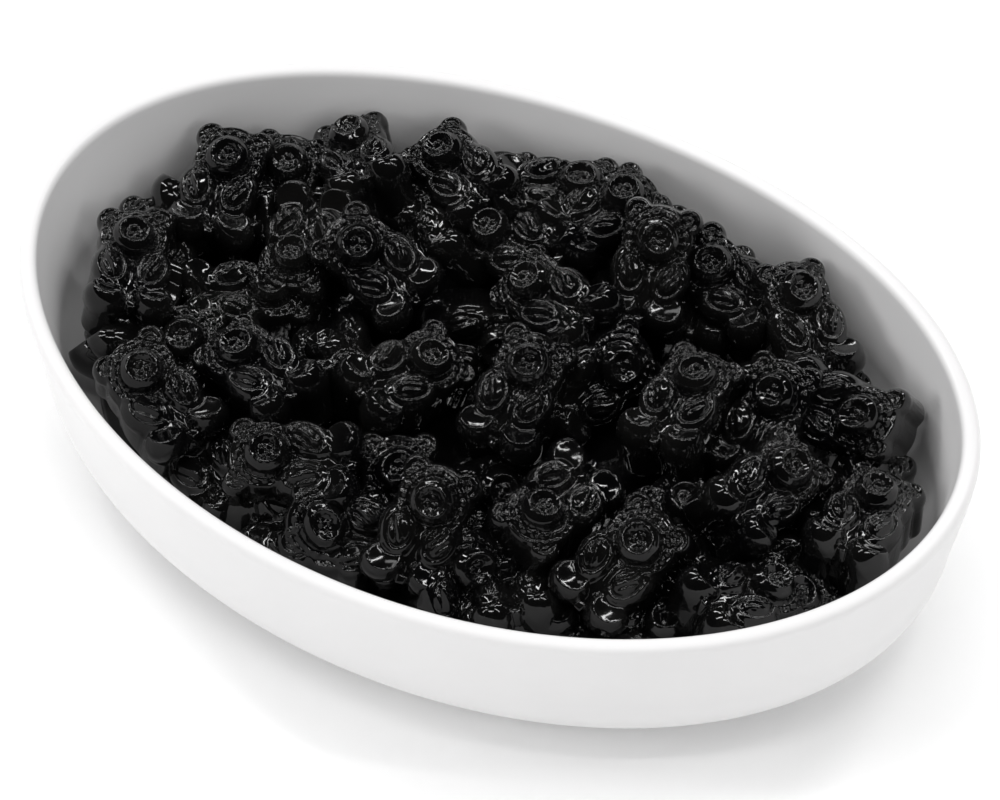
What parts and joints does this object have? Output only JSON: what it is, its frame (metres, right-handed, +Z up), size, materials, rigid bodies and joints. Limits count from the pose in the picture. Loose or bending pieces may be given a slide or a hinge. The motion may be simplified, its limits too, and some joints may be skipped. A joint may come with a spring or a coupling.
{
  "type": "bowl of gummy bears",
  "caption": "Oval white ceramic serving bowl filled with a heap of glossy black gummy bears.",
  "frame": {"origin": "on the table under the middle of the bowl's oval", "axes": "+X along the bowl's long axis, +Y across it towards the side away from the viewer, +Z up"},
  "size_m": [0.1598, 0.1088, 0.038],
  "materials": {
    "white_glaze": "glossy",
    "black_gummy": "glossy"
  },
  "bodies": {
    "root": {"bowl": "white_glaze", "gummy_heap": "black_gummy"}
  },
  "joints": []
}
